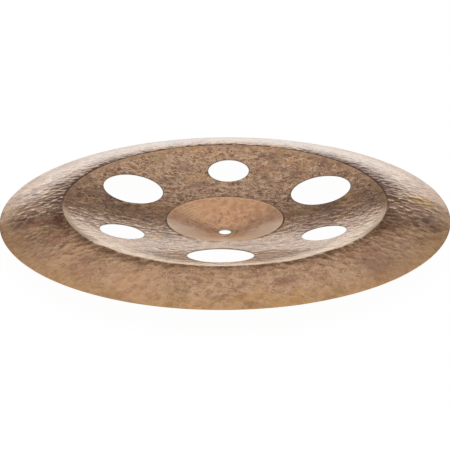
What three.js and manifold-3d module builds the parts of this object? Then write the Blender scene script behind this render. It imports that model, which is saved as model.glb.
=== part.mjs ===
// An 18 inch china cymbal with six vent holes, lying cup down as it hangs on a stand.
// Millimetres, +Z up. The origin is the centre of the post hole, on the underside of the crown.
//
// The real thing is one piece: a cast bronze disc that is pressed, hammered and cut. So the model is one
// solid of revolution, with a wall that thins from the crown to the rim, and six round vents cut through it.
// From the middle outwards it has a flat crown with the post hole, a cup, a bow that curves up to a sharp
// crease, and a flange that turns over the crease and falls to the rim.

import * as THREE from "three";
import { mergeVertices } from "three/addons/utils/BufferGeometryUtils.js";
import Module from "manifold-3d";

const wasm = await Module();
wasm.setup();

// Driving dimensions in plan
const RIM_DIAMETER = 457.2;
const CREASE_DIAMETER = 329.4;
const CUP_DIAMETER = 119;
const CROWN_DIAMETER = 22;
const POST_HOLE_DIAMETER = 12.5;

// Heights of the concave side, each measured from the ring inside it
const CUP_DEPTH = 15.1;
const BOW_RISE = 21.9;
const FLANGE_DROP = 13.4;

// Wall, square to the surface
const CROWN_WALL = 1.2;
const RIM_WALL = 0.7;

// How each zone bends
const CUP_BEND_WIDTH = 5;
const BOW_START_SLOPE = THREE.MathUtils.degToRad(6.4);
const FLANGE_START_SLOPE = THREE.MathUtils.degToRad(2);
const SHOULDER_WIDTH = 20;

// Vents, three large and three small in turn round one circle, with a land left between them and the crease
const LARGE_VENT_DIAMETER = 63.5;
const SMALL_VENT_DIAMETER = 44.45;
const VENT_LAND = 18;
const VENT_PAIRS = 3;
const FIRST_LARGE_VENT = THREE.MathUtils.degToRad(-90);
const CUTTER_OVERRUN = 12;

// Facets
const TURN_SEGMENTS = 84;
const CUP_SEGMENTS = 5;
const BOW_SEGMENTS = 6;
const FLANGE_SEGMENTS = 6;
const VENT_SEGMENTS = 40;

const BRONZE = 0x8a6a4f;
const BRONZE_ROUGHNESS = 0.35;

// Rings of the concave side, as points of radius and height
const holeEdge = new THREE.Vector2(POST_HOLE_DIAMETER / 2, CROWN_WALL);
const crownEdge = new THREE.Vector2(CROWN_DIAMETER / 2, CROWN_WALL);
const cupRing = new THREE.Vector2(CUP_DIAMETER / 2, crownEdge.y + CUP_DEPTH);
const crease = new THREE.Vector2(CREASE_DIAMETER / 2, cupRing.y + BOW_RISE);
const rim = new THREE.Vector2(RIM_DIAMETER / 2, crease.y - FLANGE_DROP);
const ventCircleRadius = crease.x - VENT_LAND - LARGE_VENT_DIAMETER / 2;

// The cup leaves the crown level, bends up within the bend width and then runs nearly straight.
function cupCurve() {
  const bend = new THREE.Vector2(crownEdge.x + CUP_BEND_WIDTH, crownEdge.y);
  return new THREE.QuadraticBezierCurve(crownEdge, bend, cupRing);
}

// The bow is a parabola: the bend point of its Bezier lies half way out, on the tangent at the cup ring.
function bowCurve() {
  const halfWidth = (crease.x - cupRing.x) / 2;
  const bend = new THREE.Vector2(cupRing.x + halfWidth, cupRing.y + halfWidth * Math.tan(BOW_START_SLOPE));
  return new THREE.QuadraticBezierCurve(cupRing, bend, crease);
}

// The flange falls gently from the crease, turns over its shoulder and then runs nearly straight to the rim.
function flangeCurve() {
  const fall = SHOULDER_WIDTH * Math.tan(FLANGE_START_SLOPE);
  const shoulder = new THREE.Vector2(crease.x + SHOULDER_WIDTH, crease.y - fall);
  return new THREE.QuadraticBezierCurve(crease, shoulder, rim);
}

// The concave side from the post hole to the rim, with each ring once.
function concaveOutline() {
  const outline = [holeEdge];
  outline.push(...cupCurve().getPoints(CUP_SEGMENTS));
  outline.push(...bowCurve().getPoints(BOW_SEGMENTS).slice(1));
  outline.push(...flangeCurve().getPoints(FLANGE_SEGMENTS).slice(1));
  return outline;
}

// The wall is even under the crown and thins steadily from there to the rim.
function wallAt(radius) {
  const fromCrown = Math.max(radius, crownEdge.x);
  return THREE.MathUtils.mapLinear(fromCrown, crownEdge.x, rim.x, CROWN_WALL, RIM_WALL);
}

// The way the concave side faces at one point of an outline: square to the line between its neighbours.
function facing(outline, index) {
  const before = outline[Math.max(index - 1, 0)];
  const after = outline[Math.min(index + 1, outline.length - 1)];
  const along = after.clone().sub(before).normalize();
  return new THREE.Vector2(-along.y, along.x);
}

// The convex side lies one wall below the concave side, and is level under the crown, where the felt sits.
function convexOutline(concave) {
  return concave.map((point, index) => {
    const onCrown = point.x <= crownEdge.x;
    const up = onCrown ? new THREE.Vector2(0, 1) : facing(concave, index);
    return point.clone().addScaledVector(up, -wallAt(point.x));
  });
}

// A closed profile turned about +Z. It runs out along the convex side and back along the concave side.
function turnedGeometry(concave) {
  const convex = convexOutline(concave);
  const profile = [...convex, ...concave.slice().reverse(), convex[0]];
  const geometry = new THREE.LatheGeometry(profile, TURN_SEGMENTS);
  geometry.rotateX(Math.PI / 2);
  return geometry;
}

// Height and slope of the concave side at a radius, read from its outline.
function surfaceAt(concave, radius) {
  const outer = Math.max(1, concave.findIndex((point) => point.x >= radius));
  const [a, b] = [concave[outer - 1], concave[outer]];
  const height = THREE.MathUtils.mapLinear(radius, a.x, b.x, a.y, b.y);
  return { height, slope: Math.atan2(b.y - a.y, b.x - a.x) };
}

// A round cutter that stands square to the bow, at one place of the vent circle.
function ventCutter(concave, diameter, angle) {
  const { height, slope } = surfaceAt(concave, ventCircleRadius);
  const geometry = new THREE.CylinderGeometry(diameter / 2, diameter / 2, 2 * CUTTER_OVERRUN, VENT_SEGMENTS);
  geometry.rotateX(Math.PI / 2);
  geometry.rotateY(-slope);
  geometry.translate(ventCircleRadius, 0, height);
  geometry.rotateZ(angle);
  return geometry;
}

function toSolid(geometry) {
  const bare = geometry.clone();
  bare.deleteAttribute("normal");
  bare.deleteAttribute("uv");
  const merged = mergeVertices(bare);
  const vertProperties = new Float32Array(merged.attributes.position.array);
  const triVerts = new Uint32Array(merged.index.array);
  return new wasm.Manifold(new wasm.Mesh({ numProp: 3, vertProperties, triVerts }));
}

function toGeometry(solid) {
  const { vertProperties, triVerts } = solid.getMesh();
  const geometry = new THREE.BufferGeometry();
  geometry.setAttribute("position", new THREE.BufferAttribute(vertProperties, 3));
  geometry.setIndex(new THREE.BufferAttribute(triVerts, 1));
  geometry.computeVertexNormals();
  return geometry;
}

function buildCymbal() {
  const concave = concaveOutline();
  let solid = toSolid(turnedGeometry(concave));
  const step = Math.PI / VENT_PAIRS;
  for (let index = 0; index < 2 * VENT_PAIRS; index += 1) {
    const diameter = index % 2 === 0 ? LARGE_VENT_DIAMETER : SMALL_VENT_DIAMETER;
    const cutter = ventCutter(concave, diameter, FIRST_LARGE_VENT + index * step);
    solid = solid.subtract(toSolid(cutter));
  }
  const material = new THREE.MeshStandardMaterial({
    color: BRONZE,
    roughness: BRONZE_ROUGHNESS,
    metalness: 1,
  });
  const mesh = new THREE.Mesh(toGeometry(solid), material);
  mesh.name = "cymbal";
  return mesh;
}

const chinaCymbal = new THREE.Group();
chinaCymbal.add(buildCymbal());

export default chinaCymbal;
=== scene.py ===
# %% [markdown]
# # A hammered china cymbal
# The real object is one sheet of cast bell bronze. It was rolled, pressed into a cup, a bow and a turned
# flange, hammered all over by machine and hand, and cut. Nothing is fastened to it. So there is one CAD
# node and one piece here that stands for it: the same sheet, but fine enough to carry the hammer marks.
#
# The frame is loaded first. It is the packed CAD model in metres, and it says how large the part is.

# %% Load the frame
import math

import bmesh
import bpy
import numpy as np
from mathutils import Matrix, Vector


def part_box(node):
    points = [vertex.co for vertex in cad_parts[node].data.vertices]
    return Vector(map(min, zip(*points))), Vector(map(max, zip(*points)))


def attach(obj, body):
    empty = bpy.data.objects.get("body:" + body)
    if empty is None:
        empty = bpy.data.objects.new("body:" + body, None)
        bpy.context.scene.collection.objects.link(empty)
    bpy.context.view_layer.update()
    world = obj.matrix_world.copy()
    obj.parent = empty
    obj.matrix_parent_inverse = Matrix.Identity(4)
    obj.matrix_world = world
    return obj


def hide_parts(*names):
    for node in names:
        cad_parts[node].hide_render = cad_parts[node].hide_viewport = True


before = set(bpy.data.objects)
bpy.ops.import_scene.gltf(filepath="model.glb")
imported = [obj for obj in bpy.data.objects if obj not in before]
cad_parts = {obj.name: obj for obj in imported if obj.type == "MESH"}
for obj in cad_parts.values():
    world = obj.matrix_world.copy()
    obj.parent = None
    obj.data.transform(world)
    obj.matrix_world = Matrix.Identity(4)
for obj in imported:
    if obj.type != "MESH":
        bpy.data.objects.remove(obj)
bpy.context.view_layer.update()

MM = 0.001
cad_low, cad_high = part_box("cymbal")
print("CAD box in mm:", [round(side / MM, 1) for side in cad_high - cad_low])

# %% [markdown]
# ## The camera
# The photograph was taken with a long lens from a little above the disc. Its focal length, distance and
# tilt were worked out from how the rim, the crease and the six vents look in it. The camera turns 2.1
# degrees round the disc, because the vents in the photograph are turned by as much against the CAD.

# %% Camera
IMAGE_PX = 450
FOCAL_PX = 1385.6
SENSOR = 36
FLANGE_DROP = 13.4 * MM
CAMERA_DISTANCE = 1418.7 * MM
CAMERA_AZIMUTH = math.radians(2.14)
CAMERA_ELEVATION = math.radians(22.17)
CAMERA_AIM_BELOW = math.radians(0.60)
CAMERA_TILT = math.radians(90) - CAMERA_ELEVATION - CAMERA_AIM_BELOW
CAMERA_ROLL = math.radians(-0.41)
RIM_RADIUS = (cad_high.x - cad_low.x) / 2
CREASE_HEIGHT = cad_high.z
RIM_HEIGHT = CREASE_HEIGHT - FLANGE_DROP


def photograph_camera():
    """A camera on a sphere round the middle of the rim, looking in along its own tilt and roll."""
    data = bpy.data.cameras.new("photograph_camera")
    data.sensor_width = SENSOR
    data.lens = SENSOR * FOCAL_PX / IMAGE_PX
    camera = bpy.data.objects.new("photograph_camera", data)
    bpy.context.scene.collection.objects.link(camera)
    turn = Matrix.Rotation(CAMERA_AZIMUTH, 4, "Z")
    tilt = Matrix.Rotation(CAMERA_TILT, 4, "X")
    roll = Matrix.Rotation(CAMERA_ROLL, 4, "Z")
    out = -math.cos(CAMERA_ELEVATION) * CAMERA_DISTANCE
    up = math.sin(CAMERA_ELEVATION) * CAMERA_DISTANCE + RIM_HEIGHT
    place = turn @ Matrix.Translation((0, out, up))
    camera.matrix_world = place @ tilt @ roll
    return camera


bpy.context.scene.camera = photograph_camera()
bpy.context.scene.view_settings.view_transform = "Standard"
print("lens in mm:", round(bpy.context.scene.camera.data.lens, 2))

# %% [markdown]
# ## The sheet in section
# Every cymbal is a turned shape, so its form is one line from the post hole to the rim: a flat crown, a cup
# that leaves the crown level, a bow that is a parabola, and a flange that turns over the crease and falls.
# Each of the last three is a quadratic Bezier of three points, as in the CAD. A Bezier of radius and height
# can be solved for its parameter, so height and slope are functions of the radius, and any grid can be laid
# over the sheet, even round the vents.

# %% Zones of the section
CROWN_WALL = 1.2 * MM
RIM_WALL = 0.7 * MM
POST_HOLE_RADIUS = 6.25 * MM
CROWN_RADIUS = 11 * MM
CUP_RADIUS = 59.5 * MM
CREASE_RADIUS = 164.7 * MM
CUP_DEPTH = 15.1 * MM
CUP_BEND_WIDTH = 5 * MM
BOW_START_SLOPE = math.tan(math.radians(6.4))
FLANGE_START_SLOPE = math.tan(math.radians(2))
SHOULDER_WIDTH = 20 * MM
CUP_RING_EASE = 0.1 * MM
CREASE_EASE = 2.1 * MM

cup_height = CROWN_WALL + CUP_DEPTH
bow_middle = (CREASE_RADIUS - CUP_RADIUS) / 2
crown_edge = (CROWN_RADIUS, CROWN_WALL)
cup_bend = (CROWN_RADIUS + CUP_BEND_WIDTH, CROWN_WALL)
cup_ring = (CUP_RADIUS, cup_height)
bow_bend = (CUP_RADIUS + bow_middle, cup_height + bow_middle * BOW_START_SLOPE)
crease = (CREASE_RADIUS, CREASE_HEIGHT)
shoulder = (CREASE_RADIUS + SHOULDER_WIDTH, CREASE_HEIGHT - SHOULDER_WIDTH * FLANGE_START_SLOPE)
rim = (RIM_RADIUS, RIM_HEIGHT)
ZONES = [(crown_edge, cup_bend, cup_ring), (cup_ring, bow_bend, crease), (crease, shoulder, rim)]


def slope_between(a, b):
    """The change of height over the change of radius."""
    return (b[1] - a[1]) / (b[0] - a[0])


EASED_CORNERS = [
    (CUP_RADIUS, CUP_RING_EASE, slope_between(cup_ring, bow_bend) - slope_between(cup_bend, cup_ring)),
    (CREASE_RADIUS, CREASE_EASE, slope_between(crease, shoulder) - slope_between(bow_bend, crease)),
]


def section(radius):
    """Height and slope of the concave side at each radius.

    In a zone, radius = inner + 2 run t + turn t squared. That is solved for t, which gives the height by the
    Bezier's own formula and the slope as the height's rate over the radius's rate. At the cup ring and the
    crease the corner, a change of slope, is eased into a hyperbola: half the change times the square root of
    distance squared plus ease squared, less the distance.
    """
    height = np.full_like(radius, CROWN_WALL)
    slope = np.zeros_like(radius)
    for inner, middle, outer in ZONES:
        run = middle[0] - inner[0]
        turn = inner[0] - 2 * middle[0] + outer[0]
        past = np.maximum(radius - inner[0], 0)
        t = past / (run + np.sqrt(run * run + turn * past))
        curve = inner[1] * (1 - t) ** 2 + 2 * middle[1] * (1 - t) * t + outer[1] * t * t
        rate = ((middle[1] - inner[1]) * (1 - t) + (outer[1] - middle[1]) * t) / (run + turn * t)
        height = np.where(radius > inner[0], curve, height)
        slope = np.where(radius > inner[0], rate, slope)
    for corner, ease, change in EASED_CORNERS:
        away = radius - corner
        reach = np.sqrt(away * away + ease * ease)
        height += change * (reach - np.abs(away)) / 2
        slope += change * (away / reach - np.sign(away)) / 2
    return height, slope


def wall(radius):
    """The wall is even under the crown and thins steadily from there to the rim."""
    return np.interp(radius, [CROWN_RADIUS, RIM_RADIUS], [CROWN_WALL, RIM_WALL])


sample = np.array([CUP_RADIUS, CREASE_RADIUS, RIM_RADIUS])
print("heights at cup ring, crease and rim in mm:", np.round(section(sample)[0] / MM, 2))

# %% [markdown]
# ## The hammer marks
# A hammer with a round face leaves a shallow bowl at each blow, and where two bowls meet they leave a
# ridge, so a hammered sheet is a net of ridges round pits. The blows go round the disc in rings. The
# nearest blow decides the depth at a point: it is the distance to that blow, squared, over twice the hammer
# face's radius. All points are worked out at once. Only the nine blows near a point matter, and a soft
# minimum rounds the ridges a little.

# %% Hammer blows
TAU = 2 * math.pi
BLOW_PITCH = 8.5 * MM
HAMMER_FACE_RADIUS = 130 * MM
BLOW_SCATTER = 0.32
BLOW_FORCE = 0.12
BLOW_DEPTH = 0.36
BLOW_SEED = 5
SPARE_RINGS = 3
SPARE_BLOWS = 2
RIDGE_SHARPNESS = 14
SMALLEST_SUM = 1e-9


def blow_field(x, y):
    """Depth of the hammer marks from 0 on the ridges to about BLOW_DEPTH in the pits, in pitches squared.

    Ring k lies at (k + 1/2) pitches and holds about tau times (k + 1/2) blows, each scattered by some of a
    pitch along and across its ring. The soft minimum is minus the log of the sum of exp(-sharpness times
    (distance squared - force)).
    """
    draw = np.random.default_rng(BLOW_SEED)
    rings = int(RIM_RADIUS / BLOW_PITCH) + SPARE_RINGS
    most = int(TAU * rings) + SPARE_BLOWS
    scatter = draw.uniform(-BLOW_SCATTER, BLOW_SCATTER, (2, rings, most))
    force = draw.uniform(0, BLOW_FORCE, (rings, most))
    start = draw.uniform(0, 1, rings)
    radius = np.hypot(x, y) / BLOW_PITCH
    turn = np.arctan2(y, x) / TAU
    home = np.floor(radius).astype(int)
    total = np.zeros_like(radius)
    for ring_step in (-1, 0, 1):
        ring = home + ring_step
        real = (ring >= 0) & (ring < rings)
        ring = np.clip(ring, 0, rings - 1)
        count = np.round(TAU * (ring + 0.5))
        first = np.floor(turn * count - start[ring])
        for blow_step in (-1, 0, 1):
            place = first + blow_step
            blow = np.mod(place, count).astype(int)
            angle = TAU * (place + 0.5 + start[ring] + scatter[0, ring, blow]) / count
            reach = ring + 0.5 + scatter[1, ring, blow]
            across = reach * np.cos(angle) - x / BLOW_PITCH
            along = reach * np.sin(angle) - y / BLOW_PITCH
            power = across ** 2 + along ** 2 - force[ring, blow]
            total += np.where(real, np.exp(-RIDGE_SHARPNESS * power), 0)
    nearest = -np.log(np.maximum(total, SMALLEST_SUM)) / RIDGE_SHARPNESS
    return np.clip(BLOW_DEPTH - nearest, 0, None)


print("blows in the outermost ring:", round(TAU * RIM_RADIUS / BLOW_PITCH))

# %% [markdown]
# ## Waves, and where the marks fade
# A sheet that was hammered isn't quite true. A few long, low waves bend it as a whole. The marks are
# strongest on the flange, fade towards the rim, and leave out the cup, which was turned afterwards, and a
# narrow strip inside the crease. All of it only sinks into the sheet, so nothing grows past the CAD.

# %% Waves and where the marks fade
WAVE_COUNT = 40
WAVE_LENGTHS = (26 * MM, 90 * MM)
WAVE_HEIGHT = 0.06 * MM
WAVE_SEED = 11
CUP_WAVE_SHARE = 0.25
SLACK = 0.22 * MM
PLAIN_STRIP_WIDTH = 8 * MM
BOW_HAMMERING = 0.6
RIM_HAMMERING = 0.4
FULL_HAMMERING_RADIUS = CREASE_RADIUS + 1 * MM
HAMMERING_FADE = (CREASE_RADIUS + 12 * MM, RIM_RADIUS - 10 * MM)
BOW_START = (CUP_RADIUS + 1 * MM, CUP_RADIUS + 5 * MM)
CROWN_FADE = (CROWN_RADIUS, CROWN_RADIUS + 12 * MM)
RING_DIP = 0.04 * MM
RING_DIP_WIDTH = 2 * MM
RING_DIP_RUNOUT = 12 * MM
CHECK_STEPS = 301


def step_up(value, start, stop):
    """0 below start, 1 above stop and a smooth step between them."""
    t = np.clip((value - start) / (stop - start), 0, 1)
    return t * t * (3 - 2 * t)


def wave_field(x, y, seed):
    """A sum of plane waves of random heading, phase and length, about 1 high."""
    draw = np.random.default_rng(seed)
    heading = draw.uniform(0, TAU, WAVE_COUNT)
    phase = draw.uniform(0, TAU, WAVE_COUNT)
    number = TAU / draw.uniform(*WAVE_LENGTHS, WAVE_COUNT)
    total = np.zeros_like(x)
    for wave in range(WAVE_COUNT):
        run = x * math.cos(heading[wave]) + y * math.sin(heading[wave])
        total += np.sin(run * number[wave] + phase[wave])
    return total * math.sqrt(2 / WAVE_COUNT)


def plain_strip(radius):
    """1 in the narrow strip inside the crease, which the hammer leaves plain, and 0 elsewhere."""
    inside = step_up(radius, CREASE_RADIUS - PLAIN_STRIP_WIDTH, CREASE_RADIUS - PLAIN_STRIP_WIDTH / 2)
    return inside * (1 - step_up(radius, CREASE_RADIUS, CREASE_RADIUS + PLAIN_STRIP_WIDTH / 2))


def hammering(radius):
    """How strong the marks are: weaker on the bow, full outside the crease, then less towards the rim."""
    outside = step_up(radius, CREASE_RADIUS, FULL_HAMMERING_RADIUS)
    outer = step_up(radius, *HAMMERING_FADE)
    return BOW_HAMMERING + (1 - BOW_HAMMERING) * outside - (1 - RIM_HAMMERING) * outer


def sunk(x, y):
    """How far the concave side lies below its section: hammer marks, waves and a dip at the cup ring."""
    radius = np.hypot(x, y)
    on_bow = step_up(radius, *BOW_START)
    off_crown = step_up(radius, *CROWN_FADE)
    marks = blow_field(x, y) * BLOW_PITCH ** 2 / (2 * HAMMER_FACE_RADIUS)
    wave_height = WAVE_HEIGHT * (CUP_WAVE_SHARE + (1 - CUP_WAVE_SHARE) * on_bow)
    waves = wave_field(x, y, WAVE_SEED) * wave_height + SLACK
    ring_dip = step_up(radius, CUP_RADIUS, CUP_RADIUS + RING_DIP_WIDTH) * RING_DIP
    ring_dip *= 1 - step_up(radius, CUP_RADIUS + RING_DIP_WIDTH, CUP_RADIUS + RING_DIP_RUNOUT)
    marks *= hammering(radius) * on_bow * (1 - plain_strip(radius))
    return np.maximum(marks + waves * off_crown + ring_dip, 0)


grid = np.linspace(-RIM_RADIUS, RIM_RADIUS, CHECK_STEPS)
field = sunk(*np.meshgrid(grid, grid))
print("sunk below the section in mm, mean and most:", np.round([field.mean() / MM, field.max() / MM], 3))

# %% [markdown]
# ## Points on the sheet
# All grids below are drawn in plan, as x and y. This cell lifts them onto the sheet. A point's depth goes
# from 0 on the concave side to 1 on the convex side, and it is measured square to the sheet, so the wall
# keeps its thickness where the sheet is steep. A hammered crease isn't quite a circle, so near it the
# section is read at a radius that wanders a little.

# %% From plan to sheet
CREASE_WANDER = 0.35 * MM
CREASE_WANDER_WIDTH = 9 * MM
CREASE_WANDER_SEED = 23


def on_sheet(x, y, depth):
    """Points of the sheet over x and y: the section's height, less sunk and depth times the wall, both along
    the section's normal, which is (-slope x / radius, -slope y / radius, 1) made one long."""
    radius = np.hypot(x, y)
    wander = wave_field(x, y, CREASE_WANDER_SEED) * CREASE_WANDER
    near_crease = np.exp(-((radius - CREASE_RADIUS) / CREASE_WANDER_WIDTH) ** 2)
    height, slope = section(radius + wander * near_crease)
    down = sunk(x, y) + depth * wall(radius)
    normal = np.stack([-slope * x / radius, -slope * y / radius, np.ones_like(x)], axis=-1)
    normal /= np.linalg.norm(normal, axis=-1, keepdims=True)
    return np.stack([x, y, height], axis=-1) - normal * down[..., None]


def rings_mesh(x, y, depth):
    """A grid of rings, closed along its columns, as (points, quads)."""
    points = on_sheet(x, y, np.broadcast_to(depth, x.shape)).reshape(-1, 3)
    index = np.arange(x.size).reshape(x.shape)
    beside = np.roll(index, -1, axis=1)
    quads = np.stack([index[:-1], beside[:-1], beside[1:], index[1:]], axis=-1)
    return points, quads.reshape(-1, 4)


print("a point of the rim in mm:", np.round(on_sheet(np.array([RIM_RADIUS]), np.zeros(1), 0)[0] / MM, 2))

# %% [markdown]
# ## Grids round the post hole and the vents
# A boolean cut would leave long thin faces round each vent, and they would show in the mirror-like metal.
# So the bow is shared out among six sectors, one to a vent, and each sector is a set of rings that change
# from the vent's circle to the sector's own outline. Cup and flange are plain polar grids that start at
# the same points. Rings lie closer together where the section has a corner.

# %% Plan grids
VENT_LAND = 18 * MM
LARGE_VENT_RADIUS = 31.75 * MM
SMALL_VENT_RADIUS = 22.225 * MM
VENT_COUNT = 6
FIRST_VENT_ANGLE = -TAU / 4
VENT_CIRCLE_RADIUS = CREASE_RADIUS - VENT_LAND - LARGE_VENT_RADIUS
SECTOR_INSIDE = CUP_RADIUS + 4 * MM
SECTOR_OUTSIDE = CREASE_RADIUS - 7.5 * MM
SPACING = 1.93 * MM
CORNER_WIDTH = 2.5 * MM
CORNER_EXTRA = 3
DENSITY_STEPS = 3000
SECTOR_TURN = TAU / VENT_COUNT
INSIDE_STEPS = round(SECTOR_INSIDE * SECTOR_TURN / SPACING)
OUTSIDE_STEPS = round(SECTOR_OUTSIDE * SECTOR_TURN / SPACING)
SIDE_STEPS = round((SECTOR_OUTSIDE - SECTOR_INSIDE) / SPACING)


def ring_radii(start, stop, corner):
    """Radii from start to stop, about SPACING apart and a quarter of that at the corner.

    The number of rings up to a radius is the integral of their density, and equal steps of that number give
    the radii. It is kept even, so that every second ring also ends at stop.
    """
    fine = np.linspace(start, stop, DENSITY_STEPS)
    density = (1 + CORNER_EXTRA * np.exp(-((fine - corner) / CORNER_WIDTH) ** 2)) / SPACING
    middles = (density[1:] + density[:-1]) / 2 * np.diff(fine)
    number = np.concatenate([[0], np.cumsum(middles)])
    rings = 2 * round(number[-1] / 2)
    return np.interp(np.linspace(0, number[-1], rings + 1), number, fine)


def polar_plan(radii, steps):
    """x and y of circles of the given radii, each of six times steps points."""
    points = VENT_COUNT * steps
    angle = FIRST_VENT_ANGLE - SECTOR_TURN / 2 + TAU * np.arange(points) / points
    return np.outer(radii, np.cos(angle)), np.outer(radii, np.sin(angle))


def sector_outline():
    """Outline of a sector whose vent lies along +X: out along one side, round, back in and round inside."""
    half = SECTOR_TURN / 2
    out = np.linspace(SECTOR_INSIDE, SECTOR_OUTSIDE, SIDE_STEPS, endpoint=False)
    back = np.linspace(SECTOR_OUTSIDE, SECTOR_INSIDE, SIDE_STEPS, endpoint=False)
    far = np.linspace(-half, half, OUTSIDE_STEPS, endpoint=False)
    near = np.linspace(half, -half, INSIDE_STEPS, endpoint=False)
    outside = np.full(far.shape, SECTOR_OUTSIDE)
    inside = np.full(near.shape, SECTOR_INSIDE)
    radius = np.concatenate([out, outside, back, inside])
    angle = np.concatenate([np.full(out.shape, -half), far, np.full(back.shape, half), near])
    return radius * np.cos(angle), radius * np.sin(angle)


def vent_outline(vent_radius, toward):
    """A vent's circle in plan, one point for each direction in toward.

    The cutter stands square to the bow at the vent's middle. A point of its circle lies on the plane there,
    and slides along the cutter's axis until it meets the sheet.
    """
    height, slope = section(np.array([VENT_CIRCLE_RADIUS]))
    tilt = math.atan(slope[0])
    out = vent_radius * np.cos(toward) * math.cos(tilt)
    side = vent_radius * np.sin(toward)
    met = section(np.hypot(VENT_CIRCLE_RADIUS + out, side))[0]
    above = (met - height[0] - out * slope[0]) * math.cos(tilt)
    return VENT_CIRCLE_RADIUS + out - above * math.sin(tilt), side


def vent_radius(number):
    """Vents with an even number are large and the others small."""
    return SMALL_VENT_RADIUS if number % 2 else LARGE_VENT_RADIUS


def turned(x, y, number):
    """The plan turned from +X to the place of that vent."""
    angle = FIRST_VENT_ANGLE + number * SECTOR_TURN
    return x * math.cos(angle) - y * math.sin(angle), x * math.sin(angle) + y * math.cos(angle)


def vent_plan(number, radius_change, shares):
    """Rings from a vent's circle, made larger by radius_change, by shares of the way to the outline."""
    far_x, far_y = sector_outline()
    toward = np.arctan2(far_y, far_x - VENT_CIRCLE_RADIUS)
    x, y = vent_outline(vent_radius(number) + radius_change, toward)
    share = np.asarray(shares, float)[:, None]
    return turned(x + share * (far_x - x), y + share * (far_y - y), number)


print("points round the rim:", VENT_COUNT * OUTSIDE_STEPS, "and round a vent:", len(sector_outline()[0]))

# %% [markdown]
# ## Closing the sheet
# The concave side gets every ring. The convex side is the same sheet a wall lower and gets every second
# one, because it is seen less and both sides together stay under 200,000 triangles. Rim, vents and post
# hole have cut edges: a narrow break above and below and a straight cut between them.

# %% Both sides and the cut edges
EDGE_BREAK = 0.18 * MM
VENT_RINGS = 24
VENT_RING_GROWTH = 1.25


def both_sides(x, y):
    """The grid on the concave side and every second ring of it on the convex side."""
    return [rings_mesh(x, y, 0), rings_mesh(x[::2], y[::2], 1)]


def cut_edge(inner, outer):
    """The edge between the sides: from the inner plan line down over the break, along the cut and back."""
    (near_x, near_y), (far_x, far_y) = inner, outer
    x = np.concatenate([near_x, far_x, far_x, near_x])
    y = np.concatenate([near_y, far_y, far_y, near_y])
    share = EDGE_BREAK / wall(np.hypot(x[:1], y[:1]))
    depth = np.concatenate([0 * share, share, 1 - share, 1 + 0 * share])
    return rings_mesh(x, y, depth)


cup_radii = ring_radii(POST_HOLE_RADIUS + EDGE_BREAK, CUP_RADIUS, CUP_RADIUS)
inner_radii = np.concatenate([cup_radii, ring_radii(CUP_RADIUS, SECTOR_INSIDE, CUP_RADIUS)[1:]])
outer_radii = ring_radii(SECTOR_OUTSIDE, RIM_RADIUS - EDGE_BREAK, CREASE_RADIUS)
ring_shares = np.linspace(0, 1, VENT_RINGS + 1) ** VENT_RING_GROWTH

patches = both_sides(*polar_plan(inner_radii, INSIDE_STEPS))
patches += both_sides(*polar_plan(outer_radii, OUTSIDE_STEPS))
for number in range(VENT_COUNT):
    patches += both_sides(*vent_plan(number, EDGE_BREAK, ring_shares))
    patches.append(cut_edge(vent_plan(number, EDGE_BREAK, [0]), vent_plan(number, 0, [0])))
rim_edge = [polar_plan([RIM_RADIUS - inset], OUTSIDE_STEPS) for inset in (EDGE_BREAK, 0)]
hole_edge = [polar_plan([POST_HOLE_RADIUS + inset], INSIDE_STEPS) for inset in (EDGE_BREAK, 0)]
patches += [cut_edge(*rim_edge), cut_edge(*hole_edge)]
print("patches:", len(patches), "points:", sum(len(points) for points, _ in patches))

# %% [markdown]
# ## One closed mesh
# The patches meet point on point, so merging doubles sews them into one closed shell, and Blender can
# then turn every face outwards. Edges that turn by more than 30 degrees, which are only the cut ones,
# stay sharp. The ring between cup and bow turns by less, but the press leaves it crisp, so it is made
# sharp by its radius. Each point also keeps how far it lies from the nearest vent, as an attribute that
# the material reads.

# %% Sew the sheet
CUBIC_CM = 1e-6
MERGE_DISTANCE = 0.02 * MM
SHARP_ANGLE = math.radians(30)
RING_TOLERANCE = 0.15 * MM


def sewn_mesh(name, patches):
    """One mesh of all patches, with doubles merged and faces turned outwards."""
    starts = np.cumsum([0] + [len(points) for points, _ in patches[:-1]])
    points = np.concatenate([points for points, _ in patches])
    quads = np.concatenate([quads + start for (_, quads), start in zip(patches, starts)])
    mesh = bpy.data.meshes.new(name)
    mesh.from_pydata(points.tolist(), [], quads.tolist())
    sheet = bmesh.new()
    sheet.from_mesh(mesh)
    bmesh.ops.remove_doubles(sheet, verts=sheet.verts, dist=MERGE_DISTANCE)
    bmesh.ops.recalc_face_normals(sheet, faces=sheet.faces)
    print("open edges:", sum(1 for edge in sheet.edges if not edge.is_manifold))
    print("volume in cm3:", round(sheet.calc_volume() / CUBIC_CM, 1))
    sheet.to_mesh(mesh)
    sheet.free()
    mesh.shade_smooth()
    mesh.set_sharp_from_angle(angle=SHARP_ANGLE)
    return mesh


def plan_of(mesh):
    """x and y of all of the mesh's points."""
    place = np.empty(len(mesh.vertices) * 3, np.float32)
    mesh.vertices.foreach_get("co", place)
    return place.reshape(-1, 3)[:, :2].astype(float).T


def sharpen_ring(mesh, ring_radius):
    """Make the edges sharp that run round at that radius."""
    on_ring = np.abs(np.hypot(*plan_of(mesh)) - ring_radius) < RING_TOLERANCE
    ends = np.empty(len(mesh.edges) * 2, np.int32)
    mesh.edges.foreach_get("vertices", ends)
    sharp = np.empty(len(mesh.edges), bool)
    mesh.attributes["sharp_edge"].data.foreach_get("value", sharp)
    sharp |= on_ring[ends.reshape(-1, 2)].all(axis=1)
    mesh.attributes["sharp_edge"].data.foreach_set("value", sharp)


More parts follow.
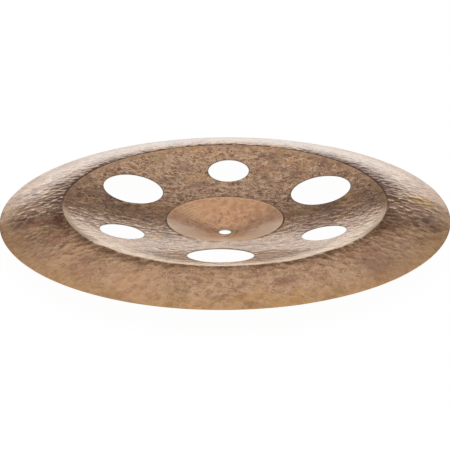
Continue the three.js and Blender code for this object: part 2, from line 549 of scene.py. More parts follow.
def keep_vent_distance(mesh):
    """Store every point's distance in plan from the nearest vent's edge, 0 on the edge and in the cut."""
    x, y = plan_of(mesh)
    nearest = np.full_like(x, RIM_RADIUS)
    tilt = math.atan(section(np.array([VENT_CIRCLE_RADIUS]))[1][0])
    for number in range(VENT_COUNT):
        angle = FIRST_VENT_ANGLE + number * SECTOR_TURN
        out = (x * math.cos(angle) + y * math.sin(angle) - VENT_CIRCLE_RADIUS) / math.cos(tilt)
        side = y * math.cos(angle) - x * math.sin(angle)
        nearest = np.minimum(nearest, np.maximum(np.hypot(out, side) - vent_radius(number), 0))
    attribute = mesh.attributes.new("vent_distance", "FLOAT", "POINT")
    attribute.data.foreach_set("value", nearest.astype(np.float32))


sheet_mesh = sewn_mesh("hammered_sheet", patches)
sharpen_ring(sheet_mesh, CUP_RADIUS)
keep_vent_distance(sheet_mesh)
cymbal = bpy.data.objects.new("hammered_sheet", sheet_mesh)
bpy.context.scene.collection.objects.link(cymbal)
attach(cymbal, "root")
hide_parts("cymbal")
print("triangles:", sum(len(face.vertices) - 2 for face in sheet_mesh.polygons))

# %% [markdown]
# ## Helpers for materials
# Colours are written as sRGB hex values, as on a paint chart, and one function turns them to the linear
# values that a renderer works with. Another adds a node with its settings and its inputs.

# %% Colour and node helpers
def linear(hex_colour):
    """An sRGB hex colour as linear red, green, blue and alpha. A channel c is ((c + 0.055) / 1.055) to the
    power 2.4, and a nearly black one c / 12.92."""
    parts = np.array([int(hex_colour[i:i + 2], 16) for i in (1, 3, 5)]) / 255
    parts = np.where(parts <= 0.04045, parts / 12.92, ((parts + 0.055) / 1.055) ** 2.4)
    return (*parts.tolist(), 1.0)


def add(tree, kind, settings=None, inputs=None):
    """Add a node and return its outputs. An input gets another node's output, a value or a hex colour."""
    node = tree.nodes.new("ShaderNode" + kind)
    for name, value in (settings or {}).items():
        setattr(node, name, value)
    for name, value in (inputs or {}).items():
        if isinstance(value, bpy.types.NodeSocket):
            tree.links.new(value, node.inputs[name])
        else:
            node.inputs[name].default_value = linear(value) if isinstance(value, str) else value
    return node.outputs


print("mid grey as a linear value:", round(linear("#808080")[0], 3))

# %% [markdown]
# ## The bronze
# The metal is B20 bell bronze, copper with a fifth of tin. It was cast and hammered and keeps a dark skin
# from the fire, except in the cup, which a lathe scraped bright. So the one sheet has two finishes, and
# both are metallic materials: the skin is so thin that it tints the mirror image and doesn't hide it.
#
# All patterns read the place on the sheet, so a size given here is the real size of a spot. An image could
# hold them too, but it would blur close by and need seams.
#
# A finish is built in layers: a tint is laid over the colour so far, as far as a mask says. A mask is a
# product of parts, and most parts are smooth steps of the radius, of the way ahead of the middle or of
# noise. A band round the disc is written as a ring's radius and then, in mm, where it starts and stops
# outside that ring and how soft its two ends are. Spots are written as the size, detail and distortion of
# their noise, and then the step.

# %% Masks, layers and patterns
MULTIPLY = {"operation": "MULTIPLY"}
MULTIPLY_ADD = {"operation": "MULTIPLY_ADD"}
NOISE_ROUGHNESS = 0.6
CELL_SMOOTHNESS = 0.25
LOOSENESS = 3 * MM
LOOSENESS_SIZE = 9 * MM
LINE_WIDTH = 0.035
NOISE_MIDDLE = 0.5
BLOTCH_GRAIN = 11 * MM
BLOTCH_OUTSIDE = 1.5
BLOTCH_INSIDE = 0.6


class SheetPatterns:
    """The place on the sheet in one node tree, and what is made from it there."""

    def __init__(self, tree, ground):
        self.tree = tree
        self.colour = ground
        self.place = add(tree, "TexCoord")["Object"]
        self.plan = add(tree, "VectorMath", MULTIPLY, {0: self.place, 1: (1, 1, 0)})[0]
        self.radius = add(tree, "VectorMath", {"operation": "LENGTH"}, {0: self.plan})["Value"]
        self.ahead = add(tree, "SeparateXYZ", {}, {0: self.place})["Y"]
        self.ragged = add(tree, "TexNoise", {}, self.speckled(BLOTCH_GRAIN, 3))["Fac"]

    def product(self, *parts):
        """The product of numbers, outputs and smooth steps. A step is a tuple of the output that it reads,
        the two values it lies between, and what it is at those two if it isn't 0 and 1."""
        total = None
        for part in parts:
            if isinstance(part, tuple):
                value, low, high, start, stop = part if len(part) == 5 else (*part, 0, 1)
                step = {"Value": value, "From Min": low, "From Max": high, "To Min": start, "To Max": stop}
                part = add(self.tree, "MapRange", {"interpolation_type": "SMOOTHSTEP"}, step)[0]
            total = part if total is None else add(self.tree, "Math", MULTIPLY, {0: total, 1: part})[0]
        return total

    def lay(self, tint, *parts):
        """Lay a tint over the colour so far, as far as the product of the parts says."""
        layers = {0: self.product(*parts), 6: self.colour, 7: tint}
        self.colour = add(self.tree, "Mix", {"data_type": "RGBA"}, layers)[2]

    def speckled(self, size, detail=2, distortion=0.0):
        """Inputs for noise whose spots have that size on the sheet."""
        inputs = {"Vector": self.place, "Scale": 1 / size, "Detail": detail}
        return {**inputs, "Roughness": NOISE_ROUGHNESS, "Distortion": distortion}

    def spots(self, size, detail, distortion, *step):
        """A smooth step of noise."""
        noise = add(self.tree, "TexNoise", {}, self.speckled(size, detail, distortion))["Fac"]
        return self.product((noise, *step))

    def wandering_lines(self, size):
        """1 where noise passes its middle value and 0 a little to either side, which gives thin lines."""
        noise = add(self.tree, "TexNoise", {}, self.speckled(size, 3))["Fac"]
        rising = (noise, NOISE_MIDDLE - LINE_WIDTH, NOISE_MIDDLE)
        falling = (noise, NOISE_MIDDLE, NOISE_MIDDLE + LINE_WIDTH, 1, 0)
        return self.product(rising, falling)

    def cells(self, size):
        """How far the nearest of many scattered points is, as a share of the size."""
        noise = add(self.tree, "TexNoise", {}, self.speckled(LOOSENESS_SIZE))["Color"]
        moved = {0: noise, 1: (LOOSENESS,) * 3, 2: self.plan}
        place = add(self.tree, "VectorMath", MULTIPLY_ADD, moved)[0]
        inputs = {"Vector": place, "Scale": 1 / size, "Smoothness": CELL_SMOOTHNESS}
        settings = {"voronoi_dimensions": "2D", "feature": "SMOOTH_F1"}
        return add(self.tree, "TexVoronoi", settings, inputs)["Distance"]

    def band(self, ring, start, stop, soft_start, soft_stop):
        """1 from start to stop, in mm outside a ring's radius, with soft edges inside them."""
        begin = (self.radius, ring + start * MM, ring + (start + soft_start) * MM)
        end = (self.radius, ring + (stop - soft_stop) * MM, ring + stop * MM, 1, 0)
        return self.product(begin, end)

    def blotch(self, angle, radius, size):
        """1 at an angle in degrees and a radius in mm, and 0 from size in mm away, with a ragged edge."""
        turn = math.radians(angle)
        middle = (radius * MM * math.cos(turn), radius * MM * math.sin(turn), 0)
        distance = add(self.tree, "VectorMath", {"operation": "DISTANCE"}, {0: self.plan, 1: middle})
        away = {0: self.ragged, 1: size * MM, 2: distance["Value"]}
        reach = add(self.tree, "Math", MULTIPLY_ADD, away)[0]
        return self.product((reach, BLOTCH_OUTSIDE * size * MM, BLOTCH_INSIDE * size * MM))


print("made from the place:", [name for name in vars(SheetPatterns) if not name.startswith("_")])

# %% [markdown]
# ## The skin's ground
# The skin is brown, with copper showing through it in clouds and small speckles, and more of it on the
# buffed flange than on the bow. Noise gives both, cut to a soft step so that it looks like spots and not
# like fog.

# %% Ground colour
SKIN_BROWN = "#a2785a"
RIDGE_COPPER = "#d6b08e"
SPECKLE = (4.2 * MM, 3, 0.0, 0.38, 0.62)
SPECKLE_AMOUNT = 0.75
CLOUDS = (12 * MM, 4, 0.5, 0.35, 0.65)
CLOUDS_ON_BOW_AND_FLANGE = (0.3, 0.55)
FLANGE_COPPER_AMOUNT = 0.65


def skin_ground(n, on_flange):
    """Copper speckles and clouds on the brown."""
    n.lay(RIDGE_COPPER, n.spots(*SPECKLE), SPECKLE_AMOUNT)
    n.lay(RIDGE_COPPER, n.spots(*CLOUDS), (on_flange, 0, 1, *CLOUDS_ON_BOW_AND_FLANGE))
    n.lay(RIDGE_COPPER, on_flange, FLANGE_COPPER_AMOUNT)


print("ground colours:", SKIN_BROWN, RIDGE_COPPER)

# %% [markdown]
# ## Pits, flecks and light lines
# The skin stays dark in the pits that the hammer left and is rubbed to copper on the ridges between them.
# Pits come from a Voronoi pattern, because its cells look like hammer marks side by side. Small dark flecks
# lie over them. Pits and flecks are patina, and also painted shade for the dark reflections in the hammer
# marks: they are strongest at the left and right, three quarters as strong towards the front and back, and
# calmer on the front of the bow. Thin light lines over them are painted highlights. There are no marks in
# the plain strip at the crease and fewer towards the rim. The front of the bow and the flange gets a paler
# tint, painted light for the pale reflection there.

# %% Marks in the skin
SKIN_DARK = "#75421e"
RIDGE_HIGHLIGHT = "#f0d0b2"
PAINTED_FRONT_BOW_LIGHT = "#b48c62"
PAINTED_FRONT_FLANGE_LIGHT = "#cfa27c"
PIT_SIZE = 9.5 * MM
PIT_STEP = (0.46, 0.34)
PIT_PATCHES = (14 * MM, 2, 0.5, 0.4, 0.56, 0.4, 1)
FLECKS = [(11 * MM, 1.5, 0.5, 0.51, 0.57, 0, 0.3), (5 * MM, 1.5, 0.5, 0.52, 0.58, 0, 0.45)]
LIGHT_LINES = [(9 * MM, 0.75), (4.5 * MM, 0.9)]
RIM_BUFF = (RIM_RADIUS - 25 * MM, RIM_RADIUS - 4 * MM)
RIM_MARKS = 0.75
FLANGE_MARKS_FADE = (CREASE_RADIUS + 4 * MM, CREASE_RADIUS + 24 * MM, 1, 0.85)
SIDE_SHADE_FADE = (120 * MM, 50 * MM, 0.75, 1)
FRONT_BOW_CALM = 0.35
FRONT_BOW_AMOUNT = 0.5
FRONT_FLANGE_AMOUNT = 0.35


def skin_marks(n, pits, marked, on_flange, in_front):
    """Dark pits and flecks, patina that is also painted shade, painted highlight lines, and painted light in
    front.
    """
    strength = n.product(marked, (n.radius, *RIM_BUFF, 1, RIM_MARKS), (n.radius, *FLANGE_MARKS_FADE))
    off_flange = add(n.tree, "Math", {"operation": "SUBTRACT"}, {0: 1, 1: on_flange})[0]
    front_bow = n.product(in_front, off_flange)
    calm = add(n.tree, "Math", MULTIPLY_ADD, {0: front_bow, 1: -FRONT_BOW_CALM, 2: 1})[0]
    from_side = add(n.tree, "Math", {"operation": "ABSOLUTE"}, {0: n.ahead})[0]
    # Painted shade: the dark marks are strongest at the left and right, weaker to the front and back and on
    # the front of the bow.
    dark = n.product(strength, (from_side, *SIDE_SHADE_FADE), calm)
    n.lay(SKIN_DARK, pits, n.spots(*PIT_PATCHES), dark)
    for fleck in FLECKS:
        n.lay(SKIN_DARK, n.spots(*fleck), dark)
    # Painted highlights: thin light lines of noise.
    for size, amount in LIGHT_LINES:
        n.lay(RIDGE_HIGHLIGHT, n.wandering_lines(size), strength, amount)
    # Painted light: a paler tint on the front of the bow and of the flange.
    n.lay(PAINTED_FRONT_BOW_LIGHT, front_bow, FRONT_BOW_AMOUNT)
    n.lay(PAINTED_FRONT_FLANGE_LIGHT, in_front, on_flange, FRONT_FLANGE_AMOUNT)


print("pit size in mm:", round(PIT_SIZE / MM, 1))

# %% [markdown]
# ## Patches
# Where the skin is thicker or thinner it looks purple, reddish, golden or olive, as an oil film does. Most
# of these patches may lie anywhere, so noise places them. Those that the eye would look for at one place
# have a row in a table: angle in degrees, radius and size in mm, amount and colour. The last centimetres
# towards the rim were buffed to gold. In front, a pale strip inside the crease is a painted highlight. Just
# outside the crease lies painted shade: a dark band all round and darker patches at the sides and back.
# In some places painted shade follows the pits like a net.

# %% Patches, painted shade and painted highlights
# A dark brown for painted shade at the crease, at the cup ring and in the pits.
PAINTED_SHADE_BROWN = "#63361a"
# A pale colour for painted highlights along the crease, in front.
CREASE_HIGHLIGHT = "#f8dcb8"
PATCH_RED = "#a9664d"
PATCH_GOLD = "#cf9c4e"
DEEP_GOLD = "#c8953a"
PATCH_OLIVE = "#988754"
PATCH_PURPLE = "#805b4e"
BRIGHT_COPPER = "#e0b088"
RAGGED_PATCHES = [
    ((33 * MM, 3, 0.6, 0.54, 0.66, 0, 0.5), PATCH_PURPLE),
    ((27 * MM, 3, 0.6, 0.56, 0.68, 0, 0.4), PATCH_RED),
    ((38 * MM, 3, 0.6, 0.55, 0.68, 0, 0.3), PATCH_GOLD),
    ((24 * MM, 3, 0.6, 0.57, 0.68, 0, 0.3), PATCH_OLIVE),
]
RIM_GOLD_AMOUNT = 0.25
PALE_STRIP = (CREASE_RADIUS, -26, 0, 20, 0.6)
PALE_STRIP_AMOUNT = 0.45
DARK_BAND = (CREASE_RADIUS, -0.2, 16, 0.8, 13)
DARK_BAND_SPOTS = (7 * MM, 3, 0.0, 0.4, 0.6, 0.1, 0.65)
CREASE_SHADE_BAND = (CREASE_RADIUS, 0.2, 38, 0.6, 30)
CREASE_SHADE_SPOTS = (7 * MM, 3, 0.0, 0.38, 0.56, 0.3, 0.9)
CREASE_SHADE_ANGLES = (-20, 12, 32, 52, 140, 168, 200)
CREASE_SHADE_RADIUS = 174.7
CREASE_SHADE_SIZE = 42
# Painted shade in the pits, like a net, mostly at the sides: angle in degrees, radius and size in mm,
# amount.
SHADE_NETS = [
    (-14, 205, 22, 0.8), (2, 208, 24, 0.8), (192, 200, 26, 0.8), (174, 206, 24, 0.7),
    (8, 105, 34, 0.5), (172, 105, 34, 0.5), (24, 176, 30, 0.9), (44, 174, 26, 0.9),
    (156, 175, 24, 0.7), (0, 179, 24, 0.7), (182, 179, 24, 0.7),
]
PIT_SHADE = 0.5
BLOTCHES = [
    (212, 188, 20, 0.6, PATCH_RED), (234, 203, 15, 0.39, PATCH_RED),
    (197, 196, 15, 0.7, PATCH_RED), (3, 203, 27, 1.0, DEEP_GOLD),
    (-10, 203, 30, 0.4, PATCH_PURPLE), (-4, 192, 14, 0.6, PATCH_RED),
    (12, 146, 17, 0.52, PATCH_PURPLE), (166, 140, 18, 0.52, PATCH_PURPLE),
    (122, 155, 14, 0.45, PATCH_OLIVE), (104, 157, 12, 0.45, PATCH_GOLD),
    (-112, 202, 40, 0.65, BRIGHT_COPPER), (-137, 200, 40, 0.6, BRIGHT_COPPER),
    (-42, 205, 46, 0.4, SKIN_BROWN), (112, 124, 16, 0.45, PATCH_PURPLE),
    (2, 105, 26, 0.35, PATCH_PURPLE), (178, 105, 26, 0.35, PATCH_PURPLE),
]


def skin_patches(n, pits, in_front):
    """Patches placed by noise, gold to the rim, a painted highlight strip and painted shade at the crease,
    painted shade in nets of pits, and placed patches.
    """
    for spots, patch in RAGGED_PATCHES:
        n.lay(patch, n.spots(*spots))
    n.lay(PATCH_GOLD, (n.radius, *RIM_BUFF), RIM_GOLD_AMOUNT)
    # Painted highlight: a pale strip inside the crease, in front only.
    n.lay(CREASE_HIGHLIGHT, n.band(*PALE_STRIP), in_front, PALE_STRIP_AMOUNT)
    # Painted shade: a dark band just outside the crease, all round.
    n.lay(PAINTED_SHADE_BROWN, n.band(*DARK_BAND), n.spots(*DARK_BAND_SPOTS))
    # Painted shade: darker patches outside the crease at the listed angles, at the sides and back.
    crease_shade = n.product(n.band(*CREASE_SHADE_BAND), n.spots(*CREASE_SHADE_SPOTS))
    for angle in CREASE_SHADE_ANGLES:
        n.lay(PAINTED_SHADE_BROWN, crease_shade, n.blotch(angle, CREASE_SHADE_RADIUS, CREASE_SHADE_SIZE))
    # Painted shade: the pits darkened at the listed places.
    for angle, radius, size, amount in SHADE_NETS:
        n.lay(PAINTED_SHADE_BROWN, n.blotch(angle, radius, size), pits, amount)
    off_pits = add(n.tree, "Math", MULTIPLY_ADD, {0: pits, 1: -PIT_SHADE, 2: 1})[0]
    for angle, radius, size, amount, patch in BLOTCHES:
        n.lay(patch, n.blotch(angle, radius, size), off_pits, amount)


print("placed patches:", len(SHADE_NETS) + len(BLOTCHES))

# %% [markdown]
# ## Thin lines
# The thin lines along the edges are mostly painted light and shade. The crease gets a painted dark line at
# the back and a painted highlight in front. The ring round the cup gets painted shade in places. The rim's
# cut metal gets a painted reflection, grey at the sides and golden in front. A line is a tint, a narrow
# band and how it fades with the way ahead of the middle.

# %% Lines at the crease, the cup and the rim
RIM_GOLD = "#d9a568"
CUT_GREY = "#6a5f52"
LINES = [
    # Painted shade on the crease at the back, and a painted highlight on it in front.
    (PAINTED_SHADE_BROWN, (CREASE_RADIUS, -0.6, 2.6, 0.6, 1.2), (-40 * MM, 40 * MM, 0, 0.85)),
    (CREASE_HIGHLIGHT, (CREASE_RADIUS, -2.4, 0.3, 1, 0.8), (10 * MM, -80 * MM, 0.1, 0.9)),
    # The rim's cut metal with a painted reflection: grey at the sides and back, golden in front.
    (CUT_GREY, (RIM_RADIUS, -1.1, -0.2, 0.4, 0.2), (-140 * MM, -60 * MM, 0, 0.75)),
    (RIM_GOLD, (RIM_RADIUS, -1.1, -0.2, 0.4, 0.2), (-50 * MM, -150 * MM, 0, 0.6)),
]
CUP_RING_SHADE = (CUP_RADIUS, -0.2, 2.6, 0.2, 1.4)
CUP_RING_SHADE_PLACES = [(-160, 60, 1), (-10, 50, 1), (90, 60, 0.5)]
CUT_EDGE = (RIM_RADIUS - 0.25 * MM, RIM_RADIUS - 0.1 * MM)


def skin_lines(n):
    """Painted shade and highlights in lines round the crease, the cup ring and the rim, and the rim's cut
    edge.
    """
    for tint, band, fade in LINES:
        n.lay(tint, n.band(*band), (n.ahead, *fade))
    # Painted shade just outside the cup ring, at listed places.
    cup_ring_shade = n.band(*CUP_RING_SHADE)
    for angle, size, amount in CUP_RING_SHADE_PLACES:
        n.lay(PAINTED_SHADE_BROWN, cup_ring_shade, n.blotch(angle, CUP_RADIUS / MM, size), amount)
    n.lay(RIM_GOLD, (n.radius, *CUT_EDGE))


print("lines round the disc:", len(LINES) + 1)

# %% [markdown]
# ## Relief too fine for the mesh
# The mesh carries the blows of the large hammer. Smaller facets and a fine grain are too small for it, so a
# bump gives them. The bump also turns the last 25 mm of the bow down a little in front and up a little at
# the sides, which moves the bright reflection there to where the photograph has it, without a change of
# shape.

# %% Bump of the skin
FACET_SIZE = 6.6 * MM
FACET_DEPTH_MM = 0.55
GRAIN_SIZE = 3 * MM
GRAIN_DEPTH_MM = 0.04
ROLL_WIDTH = 25 * MM
ROLL_DROP_MM = 1.5
ROLL_FADE = (-30 * MM, -110 * MM, -0.6, 1)


def skin_relief(n, marked):
    """Height in mm: facets and grain, where there are marks, and the roll.

    Facets are the square of the distance in their cell, and the roll is the square of the way to the crease.
    """
    cells = n.cells(FACET_SIZE)
    off_bow = (n.radius, CREASE_RADIUS, FULL_HAMMERING_RADIUS, BOW_HAMMERING, 1)
    facets = n.product(cells, cells, off_bow, (n.radius, *HAMMERING_FADE, 1, RIM_HAMMERING), FACET_DEPTH_MM)
    grain = add(n.tree, "TexNoise", {}, n.speckled(GRAIN_SIZE))["Fac"]
    marks = add(n.tree, "Math", MULTIPLY_ADD, {0: grain, 1: GRAIN_DEPTH_MM, 2: facets})[0]
    strip = {"Value": n.radius, "From Min": CREASE_RADIUS - ROLL_WIDTH, "From Max": CREASE_RADIUS}
    way = add(n.tree, "MapRange", {}, strip)[0]
    roll = n.product(way, way, (n.ahead, *ROLL_FADE), -ROLL_DROP_MM)
    return add(n.tree, "Math", MULTIPLY_ADD, {0: marks, 1: marked, 2: roll})[0]


print("roll at the crease in mm:", ROLL_DROP_MM)

# %% [markdown]
# ## The hammered finish
# This puts the layers together, from the broad to the narrow, each laid over the last. The metal is
# nearly a mirror, a little duller towards the buffed rim. A thin lacquer lies on the skin, and is dull
# just outside the crease, under the painted shade there.

# %% Hammered skin
FLANGE_BLEND = (CREASE_RADIUS, CREASE_RADIUS + 12 * MM)
FRONT_FADE = (-20 * MM, -100 * MM)
UNMARKED_BAND = (CREASE_RADIUS, -8, 2, 4, 2)
VENT_EDGE_FADE = (1.6 * MM, 0.5 * MM, 0, 0.65)
SKIN_ROUGHNESS = (6 * MM, 3, 0.0, 0.3, 0.7, 0.14, 0.24)
RIM_EXTRA_ROUGHNESS = 0.12
LACQUER = 0.45
LACQUER_ROUGHNESS = 0.08
DULL_BAND = (CREASE_RADIUS, 0, 30, 1, 26)
CREASE_DULLNESS = 0.9


def new_material(name, ground):
    """An empty material, and the sheet's patterns in it on a ground colour."""
    material = bpy.data.materials.new(name)
    material.use_nodes = True
    material.node_tree.nodes.clear()
    return material, SheetPatterns(material.node_tree, ground)


def finish_metal(n, height, inputs):
    """Metal of the colour so far, with those inputs and a bump of that height in mm, as the surface."""
    bump = add(n.tree, "Bump", {}, {"Distance": MM, "Height": height})["Normal"]
    metal = {"Base Color": n.colour, "Metallic": 1.0, "Normal": bump, **inputs}
    shader = add(n.tree, "BsdfPrincipled", {}, metal)[0]
    add(n.tree, "OutputMaterial", {}, {"Surface": shader})


def skin_colour(n, marked):
    """All layers of the skin's colour, and the grey metal at the edges of the vents."""
    on_flange = n.product((n.radius, *FLANGE_BLEND))
    in_front = n.product((n.ahead, *FRONT_FADE))
    pits = n.product((n.cells(PIT_SIZE), *PIT_STEP))
    skin_ground(n, on_flange)
    skin_marks(n, pits, marked, on_flange, in_front)
    skin_patches(n, pits, in_front)
    skin_lines(n)
    vent_distance = add(n.tree, "Attribute", {"attribute_name": "vent_distance"})["Fac"]
    n.lay(CUT_GREY, (vent_distance, *VENT_EDGE_FADE))


def hammered_skin():
    """The skin's colour, roughness, lacquer and relief as one material."""
    material, n = new_material("hammered_b20_bronze_dark_skin", SKIN_BROWN)
    unmarked = n.band(*UNMARKED_BAND)
    marked = add(n.tree, "Math", {"operation": "SUBTRACT"}, {0: 1, 1: unmarked})[0]
    dulled = {0: n.product((n.radius, *RIM_BUFF)), 1: RIM_EXTRA_ROUGHNESS, 2: n.spots(*SKIN_ROUGHNESS)}
    thinned = {0: n.band(*DULL_BAND), 1: -CREASE_DULLNESS * LACQUER, 2: LACQUER}
    skin_colour(n, marked)
    finish_metal(n, skin_relief(n, marked), {
        "Roughness": add(n.tree, "Math", MULTIPLY_ADD, dulled)[0],
        "Coat Weight": add(n.tree, "Math", MULTIPLY_ADD, thinned)[0],
        "Coat Roughness": LACQUER_ROUGHNESS,
    })
    return material


sheet_mesh.materials.append(hammered_skin())
print("nodes of the hammered finish:", len(sheet_mesh.materials[0].node_tree.nodes))

# %% [markdown]
# ## The lathed cup
# A lathe's blade took the skin off the cup and left turned rings, so the cup is brighter and more orange,
# with a soft sheen instead of a mirror image. The sheen runs across the rings: the metal is anisotropic,
# with its tangent straight out from the middle. The rings are a sine of the radius, in the bump and in
# the colour.

# %% Lathed cup
CUP_COPPER = "#e9b288"
CUP_BROWN = "#ca956d"
CUP_GOLD = "#f0c592"
CUP_DARK = "#7d5334"
CUP_FRONT_REFLECTION = "#efd1ab"
HOLE_GREY = "#b3a68a"
CUP_CLOUDS = (7 * MM, 4, 0.0, 0.38, 0.62)
CUP_GLINTS = (6 * MM, 3, 0.0, 0.57, 0.68, 0, 0.7)
CUP_SPOTS = (4 * MM, 2, 0.0, 0.6, 0.66)
CUP_SPOTS_FADE = (CUP_RADIUS - 12 * MM, CUP_RADIUS - 22 * MM, 0, 0.8)
TURNED_RING_PITCH = 3.4 * MM
TURNED_RING_STEP = (0.2, 0.9)
TURNED_RING_FADE = (CUP_RADIUS - 26 * MM, CUP_RADIUS - 8 * MM, 0, 0.3)
CUP_HIGHLIGHT_ARC = (140, 44, 24)
CUP_HIGHLIGHT_ARC_AMOUNT = 0.7
CUP_REFLECTION_FADE = (20 * MM, -45 * MM)
CUP_REFLECTION_RADII = (16 * MM, 34 * MM)
CUP_EDGE_HIGHLIGHT = (CUP_RADIUS, -1.8, 0.5, 0.8, 0.1)
CUP_EDGE_HIGHLIGHT_AMOUNT = 0.5
HOLE_RIM_FADE = (POST_HOLE_RADIUS + 2.8 * MM, POST_HOLE_RADIUS + 1.6 * MM)
BLADE_PITCH = 2.2 * MM
BLADE_DEPTH_MM = 0.008
CUP_ROUGHNESS = 0.4
CUP_ANISOTROPY = 0.8
CUP_LACQUER = 1.0
CUP_LACQUER_ROUGHNESS = 0.27


def turned_rings(n, pitch):
    """The sine of the radius times tau over the pitch."""
    turn = n.product(n.radius, TAU / pitch)
    return add(n.tree, "Math", {"operation": "SINE"}, {0: turn})[0]


def cup_colour(n):
    """Orange copper, a little cloudy, with small spots and turned rings that show towards the cup ring, and
    painted light: a highlight on the back wall, a reflection on the front wall and a highlight line inside
    the ring.
    """
    rings = turned_rings(n, TURNED_RING_PITCH)
    n.lay(CUP_BROWN, n.spots(*CUP_CLOUDS))
    n.lay(CUP_GOLD, n.spots(*CUP_GLINTS))
    n.lay(CUP_DARK, n.spots(*CUP_SPOTS), (n.radius, *CUP_SPOTS_FADE))
    n.lay(CUP_BROWN, (rings, *TURNED_RING_STEP), (n.radius, *TURNED_RING_FADE))
    off_rings = (rings, *TURNED_RING_STEP, 1, 0)
    # Painted highlight: a gold arc on the back wall of the cup, between the rings.
    n.lay(CUP_GOLD, off_rings, n.blotch(*CUP_HIGHLIGHT_ARC), CUP_HIGHLIGHT_ARC_AMOUNT)
    # Painted reflection: a pale beige on the front wall of the cup.
    n.lay(CUP_FRONT_REFLECTION, (n.ahead, *CUP_REFLECTION_FADE), (n.radius, *CUP_REFLECTION_RADII))
    # Painted highlight: a gold line just inside the cup ring.
    n.lay(CUP_GOLD, n.band(*CUP_EDGE_HIGHLIGHT), CUP_EDGE_HIGHLIGHT_AMOUNT)
    n.lay(HOLE_GREY, (n.radius, *HOLE_RIM_FADE))


def lathed_cup():
    """The cup's colour, sheen and turned rings as one material."""
    material, n = new_material("lathed_b20_bronze", CUP_COPPER)
    outwards = add(n.tree, "VectorMath", {"operation": "NORMALIZE"}, {0: n.plan})[0]
    cup_colour(n)
    finish_metal(n, n.product(turned_rings(n, BLADE_PITCH), BLADE_DEPTH_MM), {
        "Roughness": CUP_ROUGHNESS,
        "Anisotropic": CUP_ANISOTROPY,
        "Tangent": outwards,
        "Coat Weight": CUP_LACQUER,
        "Coat Roughness": CUP_LACQUER_ROUGHNESS,
    })
    return material


sheet_mesh.materials.append(lathed_cup())
print("nodes of the lathed finish:", len(sheet_mesh.materials[1].node_tree.nodes))

# %% [markdown]
# ## Where the finishes meet
# The blade stopped at the ring between cup and bow, on both sides of the sheet. One material could blend
# both finishes by the radius, but one for each keeps them simple, and the mesh has an edge on that ring.

# %% Share out the faces
def share_out(mesh, inside_radius):
    """Faces whose middle lies within the radius get the mesh's second material, the lathed one, as 1."""
    middle = np.empty(len(mesh.polygons) * 3, np.float32)
    mesh.polygons.foreach_get("center", middle)
    x, y = middle.reshape(-1, 3)[:, :2].T
    mesh.polygons.foreach_set("material_index", (np.hypot(x, y) < inside_radius).astype(np.int32))


share_out(sheet_mesh, CUP_RADIUS)
lathed_faces = sum(1 for face in sheet_mesh.polygons if face.material_index)
print("faces with the lathed finish:", lathed_faces, "of", len(sheet_mesh.polygons))

# %% [markdown]
# ## Floor
# The floor is white paper. To the camera and to shiny surfaces it mostly glows white by itself, so it has
# no horizon, and the small rest is lit paper, which keeps the soft shadow under the cymbal. From below it
# is clear, so that the underside can be looked at.

# %% Floor
FLOOR_SIZE = 30.0
FLOOR_WHITE = "#f4f4f4"
FLOOR_GLOW = 0.975
WHITE = "#ffffff"


def seen_rays(tree, *names):
    """1 for rays of those kinds, which the light path node names, and 0 for others."""
    path = add(tree, "LightPath")
    seen = path[names[0]]
    for name in names[1:]:
        seen = add(tree, "Math", {"operation": "ADD", "use_clamp": True}, {0: seen, 1: path[name]})[0]
    return seen


def white_paper():
    """Paper that glows white for most rays and is lit for the rest, and clear from below."""
    material = bpy.data.materials.new("white_studio_paper")
    material.use_nodes = True
    tree = material.node_tree
    tree.nodes.clear()
    seen = seen_rays(tree, "Is Camera Ray", "Is Glossy Ray", "Is Transmission Ray")
    share = add(tree, "Math", MULTIPLY, {0: seen, 1: FLOOR_GLOW})[0]
    paper = add(tree, "BsdfDiffuse", {}, {"Color": FLOOR_WHITE})[0]
    glow = add(tree, "Emission", {}, {"Color": WHITE})[0]
    mixed = add(tree, "MixShader", {}, {0: share, 1: paper, 2: glow})[0]
    from_below = add(tree, "NewGeometry")["Backfacing"]
    clear = add(tree, "BsdfTransparent")[0]
    one_way = add(tree, "MixShader", {}, {0: from_below, 1: mixed, 2: clear})[0]
    add(tree, "OutputMaterial", {}, {"Surface": one_way})
    return material


def floor():
    """A square of white paper under the cymbal, through the origin."""
    half = FLOOR_SIZE / 2
    mesh = bpy.data.meshes.new("studio_floor")
    corners = [(-half, -half, 0), (half, -half, 0), (half, half, 0), (-half, half, 0)]
    mesh.from_pydata(corners, [], [(0, 1, 2, 3)])
    mesh.materials.append(white_paper())
    plane = bpy.data.objects.new("studio_floor", mesh)
    bpy.context.scene.collection.objects.link(plane)


floor()
print("floor in m:", FLOOR_SIZE)

# %% [markdown]
# ## World and lamp
# Metal shows its surroundings, so the studio matters as much as the bronze. The photograph's studio is
# white low down all round, which turns every slope that faces away from the camera pale, darker and
# warmer above the white backdrop's edge, and bright again under the ceiling light. The world gives that
# by the height of a ray, to shiny surfaces alone. The camera sees plain white, and matte surfaces get
# even white light.

# %% World and lamp
STUDIO_LIGHT = [
    (-90, 0.95), (-12, 0.98), (0, 1.1), (6, 1.22), (11, 1.12), (14, 0.8), (16, 0.45), (18, 0.32),
    (27, 0.3), (30, 0.42), (33, 0.55), (38, 0.65), (46, 0.7), (55, 0.76), (90, 0.8),
]
STUDIO_WARMTH = (0, 0.12, 0.25)
LAMP_SIZE = 2.4
LAMP_HEIGHT = 2.2
LAMP_LEVEL = 0.65


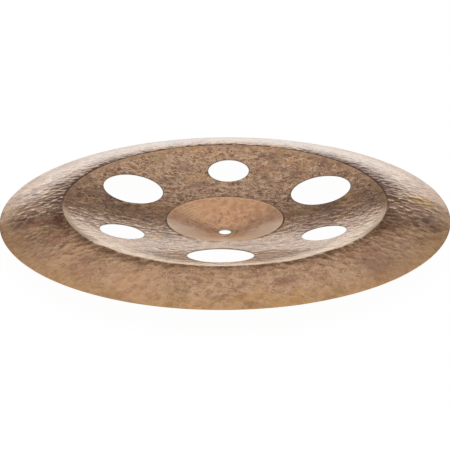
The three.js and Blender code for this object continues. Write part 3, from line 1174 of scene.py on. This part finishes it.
def studio_light(tree):
    """Light by the height of a ray, on a ramp from 0 straight down to 1 straight up. A channel is the level
    times the level, at most 1, to the power of its warmth."""
    ray = add(tree, "TexCoord")["Generated"]
    rise = add(tree, "SeparateXYZ", {}, {0: ray})["Z"]
    share = add(tree, "Math", MULTIPLY_ADD, {0: rise, 1: 0.5, 2: 0.5})[0]
    ramp = add(tree, "ValToRGB", {}, {"Fac": share})["Color"]
    stops = ramp.node.color_ramp.elements
    while len(stops) < len(STUDIO_LIGHT):
        stops.new(1.0)
    for stop, (angle, level) in zip(stops, STUDIO_LIGHT):
        stop.position = (math.sin(math.radians(angle)) + 1) / 2
        stop.color = (*[level * min(level, 1) ** warmth for warmth in STUDIO_WARMTH], 1)
    return ramp


def studio_world():
    """White to the camera, by ray height to shiny surfaces, and even to matte ones."""
    world = bpy.data.worlds.new("studio_world")
    world.use_nodes = True
    bpy.context.scene.world = world
    tree = world.node_tree
    tree.nodes.clear()
    shiny = {0: seen_rays(tree, "Is Glossy Ray"), 6: WHITE, 7: studio_light(tree)}
    light = add(tree, "Mix", {"data_type": "RGBA"}, shiny)[2]
    direct = {0: seen_rays(tree, "Is Camera Ray", "Is Transmission Ray"), 6: light, 7: WHITE}
    colour = add(tree, "Mix", {"data_type": "RGBA"}, direct)[2]
    background = add(tree, "Background", {}, {"Color": colour})[0]
    add(tree, "OutputWorld", {}, {"Surface": background})


def ceiling_lamp():
    """A square lamp straight above, for the floor and its shadow, not seen by shiny surfaces. Its power is
    pi times its area times the level wanted."""
    data = bpy.data.lights.new("ceiling_softbox", "AREA")
    data.shape = "SQUARE"
    data.size = LAMP_SIZE
    data.energy = math.pi * LAMP_SIZE ** 2 * LAMP_LEVEL
    lamp = bpy.data.objects.new("ceiling_softbox", data)
    lamp.location = (0, 0, LAMP_HEIGHT)
    lamp.visible_glossy = False
    bpy.context.scene.collection.objects.link(lamp)


studio_world()
ceiling_lamp()
print("lamp in W:", round(bpy.data.lights["ceiling_softbox"].energy, 1))

# %% [markdown]
